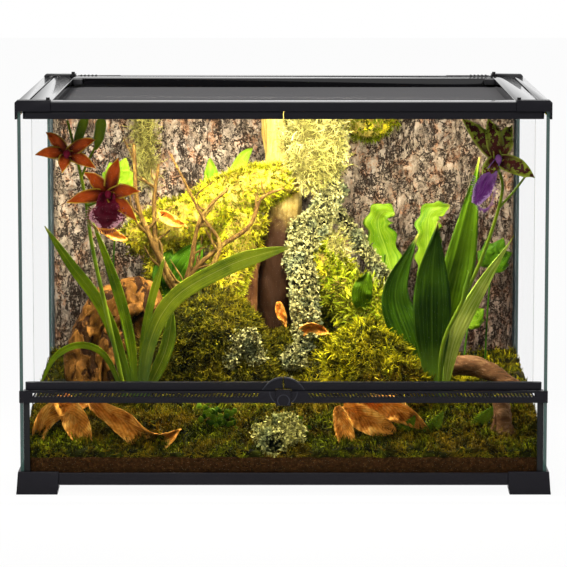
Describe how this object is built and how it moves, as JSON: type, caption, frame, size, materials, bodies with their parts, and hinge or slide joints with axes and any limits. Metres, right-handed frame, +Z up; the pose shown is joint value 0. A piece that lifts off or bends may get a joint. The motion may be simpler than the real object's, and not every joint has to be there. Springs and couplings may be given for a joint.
{
  "type": "reptile terrarium",
  "caption": "Front-opening glass terrarium: hinged doors over a vent strip, push-down latch, lift-off screen cover with sliding clips, cable inlets and a planted woodland landscape inside.",
  "frame": {"origin": "on the floor under the middle of the four feet", "axes": "+X to the right, +Y to the rear (the doors face -Y), +Z up"},
  "size_m": [0.6152, 0.4602, 0.4566],
  "materials": {
    "frame_plastic": "semi-gloss moulded dark grey plastic",
    "cover_plastic": "semi-gloss extruded dark grey plastic",
    "small_plastic": "black moulded plastic",
    "gusset_plastic": "matte grey plastic",
    "glass": "clear float glass with dark green edges",
    "channel": "black extruded channel",
    "sealant": "grey silicone sealant",
    "spline": "black rubber spline",
    "steel": "bright steel wire and pins",
    "mesh": "black coated woven wire mesh",
    "bark": "deeply cracked grey-brown bark",
    "soil": "dark brown coco soil",
    "moss": "springy green and yellow moss",
    "cork": "pale yellow-orange peeled wood",
    "mossy_wood": "log under yellow-green moss",
    "twig": "brown twigs and gnarled wood",
    "leaf": "living green leaves and flowers",
    "dried_leaf": "curled dried brown leaves",
    "lichen": "pale grey-green lichen"
  },
  "bodies": {
    "root": {"foot_front_left": "frame_plastic", "foot_front_right": "frame_plastic", "foot_rear_left": "frame_plastic", "foot_rear_right": "frame_plastic", "base_rail_front": "frame_plastic", "base_rail_rear": "frame_plastic", "base_rail_left": "frame_plastic", "base_rail_right": "frame_plastic", "bottom_glass": "glass", "left_glass": "glass", "right_glass": "glass", "rear_glass": "glass", "front_glass": "glass", "front_channels": "channel", "rear_seals": "sealant", "vent_strip": "frame_plastic", "latch_spring": "steel", "top_rail_front": "frame_plastic", "top_rail_rear": "frame_plastic", "top_rail_left": "frame_plastic", "top_rail_right": "frame_plastic", "block_front_left": "frame_plastic", "block_front_right": "frame_plastic", "block_rear_left": "frame_plastic", "block_rear_right": "frame_plastic", "bark_background": "bark", "soil": "soil", "moss": "moss", "cork_trunk": "cork", "mossy_log": "mossy_wood", "twigs": "twig", "stump": "twig", "fallen_wood": "twig", "left_orchid": "leaf", "right_orchid": "leaf", "foliage": "leaf", "dried_leaves": "dried_leaf", "lichen": "lichen"},
    "left_door": {"left_door_glass": "glass", "left_door_lower_rail": "frame_plastic", "left_door_upper_rail": "frame_plastic", "left_door_pins": "steel"},
    "right_door": {"right_door_glass": "glass", "right_door_lower_rail": "frame_plastic", "right_door_upper_rail": "frame_plastic", "right_door_pins": "steel"},
    "latch": {"latch": "frame_plastic"},
    "screen_cover": {"cover_bar_front": "cover_plastic", "cover_bar_rear": "cover_plastic", "cover_bar_left": "cover_plastic", "cover_bar_right": "cover_plastic", "cover_gussets": "gusset_plastic", "cover_mesh": "mesh", "cover_spline": "spline"},
    "clip_front_left": {"clip_front_left": "small_plastic"},
    "clip_front_right": {"clip_front_right": "small_plastic"},
    "clip_rear_left": {"clip_rear_left": "small_plastic"},
    "clip_rear_right": {"clip_rear_right": "small_plastic"},
    "shutter_left": {"shutter_left": "small_plastic"},
    "shutter_right": {"shutter_right": "small_plastic"}
  },
  "joints": [
    {"name": "left_door_hinge", "type": "hinge", "parent": "root", "child": "left_door", "pos_m": [-0.2919, -0.2195, 0.28], "axis": [0, 0, -1], "range_deg": [0, 100]},
    {"name": "right_door_hinge", "type": "hinge", "parent": "root", "child": "right_door", "pos_m": [0.2919, -0.2195, 0.28], "axis": [0, 0, 1], "range_deg": [0, 100]},
    {"name": "latch_slide", "type": "slide", "parent": "root", "child": "latch", "axis": [0, 0, -1], "range_m": [0, 0.003], "stiffness_N_per_m": 600, "springref_m": -0.002, "deforming": ["latch_spring"]},
    {"name": "cover_lift", "type": "slide", "parent": "root", "child": "screen_cover", "axis": [0, 0, 1], "range_m": [0, 0.06]},
    {"name": "clip_front_left_slide", "type": "slide", "parent": "root", "child": "clip_front_left", "axis": [0, -1, 0], "range_m": [0, 0.004]},
    {"name": "clip_front_right_slide", "type": "slide", "parent": "root", "child": "clip_front_right", "axis": [0, -1, 0], "range_m": [0, 0.004]},
    {"name": "clip_rear_left_slide", "type": "slide", "parent": "root", "child": "clip_rear_left", "axis": [0, 1, 0], "range_m": [0, 0.004]},
    {"name": "clip_rear_right_slide", "type": "slide", "parent": "root", "child": "clip_rear_right", "axis": [0, 1, 0], "range_m": [0, 0.004]},
    {"name": "shutter_left_slide", "type": "slide", "parent": "root", "child": "shutter_left", "axis": [1, 0, 0], "range_m": [0, 0.026]},
    {"name": "shutter_right_slide", "type": "slide", "parent": "root", "child": "shutter_right", "axis": [-1, 0, 0], "range_m": [0, 0.026]}
  ]
}
